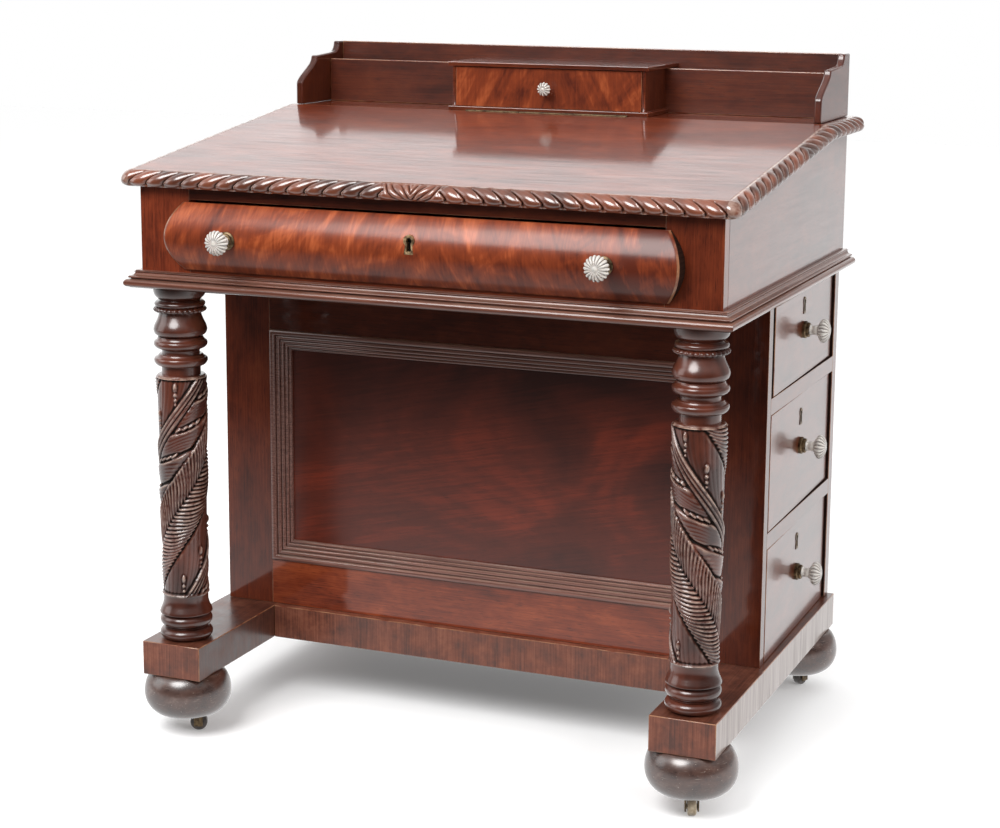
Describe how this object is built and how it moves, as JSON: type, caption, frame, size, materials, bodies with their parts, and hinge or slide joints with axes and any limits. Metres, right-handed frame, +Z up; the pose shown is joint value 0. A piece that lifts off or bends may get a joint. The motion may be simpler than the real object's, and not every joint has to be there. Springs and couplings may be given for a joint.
{
  "type": "davenport writing desk",
  "caption": "Mahogany davenport desk with a lifting writing slope, letter gallery with a small drawer, bolster frieze drawer, carved columns, side drawers and bun feet on casters.",
  "frame": {"origin": "on the floor, under the middle of the bounding box", "axes": "+X to the right of someone sitting at the desk, the side that the pedestal drawers open to; +Y to the back; +Z up"},
  "size_m": [0.8374, 0.6514, 0.9035],
  "materials": {
    "mahogany": "french polished, dark red-brown",
    "flame_veneer": "french polished crotch veneer",
    "carved_mahogany": "waxed carving, worn on its ridges",
    "dark_turned_wood": "dark, scuffed",
    "drawer_lining": "bare, dry",
    "aged_brass": "dulled",
    "pressed_glass": "clear, fluted",
    "pale_wheel": "worn pale",
    "dark_wheel": "worn dark"
  },
  "bodies": {
    "desk": {"runner_left": "mahogany", "runner_right": "mahogany", "cross_rail": "mahogany", "bun_foot_front_left": "dark_turned_wood", "bun_foot_front_right": "dark_turned_wood", "bun_foot_back_left": "dark_turned_wood", "bun_foot_back_right": "dark_turned_wood", "column_left": "carved_mahogany", "column_right": "carved_mahogany", "kneehole_frame": "mahogany", "kneehole_panel": "flame_veneer", "panel_moulding": "mahogany", "pedestal_side_left": "mahogany", "pedestal_back": "mahogany", "drawer_carcass": "mahogany", "case_front": "mahogany", "case_side_left": "mahogany", "case_side_right": "mahogany", "case_back": "mahogany", "case_floor": "drawer_lining", "well_floor": "drawer_lining", "waist_moulding": "mahogany", "shelf": "mahogany", "lid_hinge_fixed": "aged_brass", "gallery_end_left": "mahogany", "gallery_end_right": "mahogany", "gallery_back": "mahogany", "letter_divider": "mahogany", "nest_case": "mahogany"},
    "lid": {"lid": "mahogany", "lid_edging": "carved_mahogany", "lid_hinge_moving": "aged_brass"},
    "frieze_drawer": {"frieze_drawer_front": "flame_veneer", "frieze_drawer_box": "drawer_lining", "ferrule_frieze_left": "aged_brass", "ferrule_frieze_right": "aged_brass", "knob_frieze_left": "pressed_glass", "knob_frieze_right": "pressed_glass"},
    "side_drawer_low": {"side_drawer_front_low": "mahogany", "side_drawer_box_low": "drawer_lining", "ferrule_side_low": "aged_brass", "knob_side_low": "pressed_glass"},
    "side_drawer_middle": {"side_drawer_front_middle": "mahogany", "side_drawer_box_middle": "drawer_lining", "ferrule_side_middle": "aged_brass", "knob_side_middle": "pressed_glass"},
    "side_drawer_top": {"side_drawer_front_top": "mahogany", "side_drawer_box_top": "drawer_lining", "ferrule_side_top": "aged_brass", "knob_side_top": "pressed_glass"},
    "gallery_drawer": {"gallery_drawer": "flame_veneer", "knob_gallery": "pressed_glass"},
    "caster_front_left": {"caster_fork_front_left": "aged_brass"},
    "caster_front_right": {"caster_fork_front_right": "aged_brass"},
    "caster_back_left": {"caster_fork_back_left": "aged_brass"},
    "caster_back_right": {"caster_fork_back_right": "aged_brass"},
    "wheel_front_left": {"caster_wheel_front_left": "dark_wheel"},
    "wheel_front_right": {"caster_wheel_front_right": "pale_wheel"},
    "wheel_back_left": {"caster_wheel_back_left": "dark_wheel"},
    "wheel_back_right": {"caster_wheel_back_right": "dark_wheel"}
  },
  "joints": [
    {"name": "lid_hinge", "type": "hinge", "parent": "desk", "child": "lid", "pos_m": [-0.0048, 0.1621, 0.81694], "axis": [1, 0, 0], "range_deg": [-65, 0]},
    {"name": "frieze_drawer_slide", "type": "slide", "parent": "desk", "child": "frieze_drawer", "axis": [0, -1, 0], "range_m": [0, 0.28]},
    {"name": "side_drawer_low_slide", "type": "slide", "parent": "desk", "child": "side_drawer_low", "axis": [1, 0, 0], "range_m": [0, 0.4]},
    {"name": "side_drawer_middle_slide", "type": "slide", "parent": "desk", "child": "side_drawer_middle", "axis": [1, 0, 0], "range_m": [0, 0.4]},
    {"name": "side_drawer_top_slide", "type": "slide", "parent": "desk", "child": "side_drawer_top", "axis": [1, 0, 0], "range_m": [0, 0.4]},
    {"name": "gallery_drawer_slide", "type": "slide", "parent": "desk", "child": "gallery_drawer", "axis": [0, -1, 0], "range_m": [0, 0.06]},
    {"name": "caster_front_left_swivel", "type": "hinge", "parent": "desk", "child": "caster_front_left", "pos_m": [-0.36015, -0.23385, 0.0267], "axis": [0, 0, 1], "continuous": true},
    {"name": "caster_front_right_swivel", "type": "hinge", "parent": "desk", "child": "caster_front_right", "pos_m": [0.35055, -0.23385, 0.0267], "axis": [0, 0, 1], "continuous": true},
    {"name": "caster_back_left_swivel", "type": "hinge", "parent": "desk", "child": "caster_back_left", "pos_m": [-0.36015, 0.26365, 0.0267], "axis": [0, 0, 1], "continuous": true},
    {"name": "caster_back_right_swivel", "type": "hinge", "parent": "desk", "child": "caster_back_right", "pos_m": [0.35055, 0.26365, 0.0267], "axis": [0, 0, 1], "continuous": true},
    {"name": "wheel_front_left_roll", "type": "hinge", "parent": "caster_front_left", "child": "wheel_front_left", "pos_m": [-0.34717, -0.22861, 0.0115], "axis": [-0.3746, 0.9272, 0], "continuous": true},
    {"name": "wheel_front_right_roll", "type": "hinge", "parent": "caster_front_right", "child": "wheel_front_right", "pos_m": [0.35579, -0.24683, 0.0115], "axis": [0.9272, 0.3746, 0], "continuous": true},
    {"name": "wheel_back_left_roll", "type": "hinge", "parent": "caster_back_left", "child": "wheel_back_left", "pos_m": [-0.37227, 0.27065, 0.0115], "axis": [-0.5, -0.866, 0], "continuous": true},
    {"name": "wheel_back_right_roll", "type": "hinge", "parent": "caster_back_right", "child": "wheel_back_right", "pos_m": [0.35534, 0.27681, 0.0115], "axis": [-0.9397, 0.342, 0], "continuous": true}
  ]
}
